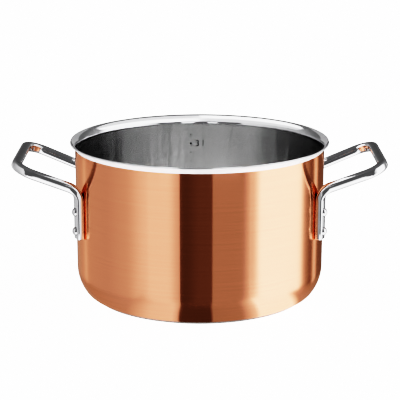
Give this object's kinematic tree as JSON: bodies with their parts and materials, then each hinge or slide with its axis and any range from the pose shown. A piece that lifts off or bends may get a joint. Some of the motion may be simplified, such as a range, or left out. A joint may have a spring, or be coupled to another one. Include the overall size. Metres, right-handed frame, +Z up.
{
  "type": "two-handled cooking pot",
  "caption": "Straight-sided round cooking pot in copper-clad layered sheet with a steel lining, flared pouring rim, magnetic base plate and riveted looped side handles.",
  "frame": {"origin": "middle of the base plate's underside, where the pot stands", "axes": "+Z up along the pot's axis, +X and -X towards the two handles"},
  "size_m": [0.3026, 0.2124, 0.1295],
  "materials": {
    "copper": "copper, finely brushed round the body and lacquer bright",
    "aluminium_core": "ground edge",
    "brushed_liner": "satin, brushed round the bore",
    "base_steel": "turned, fine rings",
    "polished_steel": "mirror polished stainless steel",
    "rivet_steel": "polished stainless steel"
  },
  "bodies": {
    "root": {"copper_outer_shell": "copper", "aluminium_core": "aluminium_core", "steel_liner": "brushed_liner", "base_plate": "base_steel", "handle_left": "polished_steel", "handle_right": "polished_steel", "rivet_left_front_lower": "rivet_steel", "rivet_left_front_upper": "rivet_steel", "rivet_left_back_lower": "rivet_steel", "rivet_left_back_upper": "rivet_steel", "rivet_right_front_lower": "rivet_steel", "rivet_right_front_upper": "rivet_steel", "rivet_right_back_lower": "rivet_steel", "rivet_right_back_upper": "rivet_steel"}
  },
  "joints": []
}
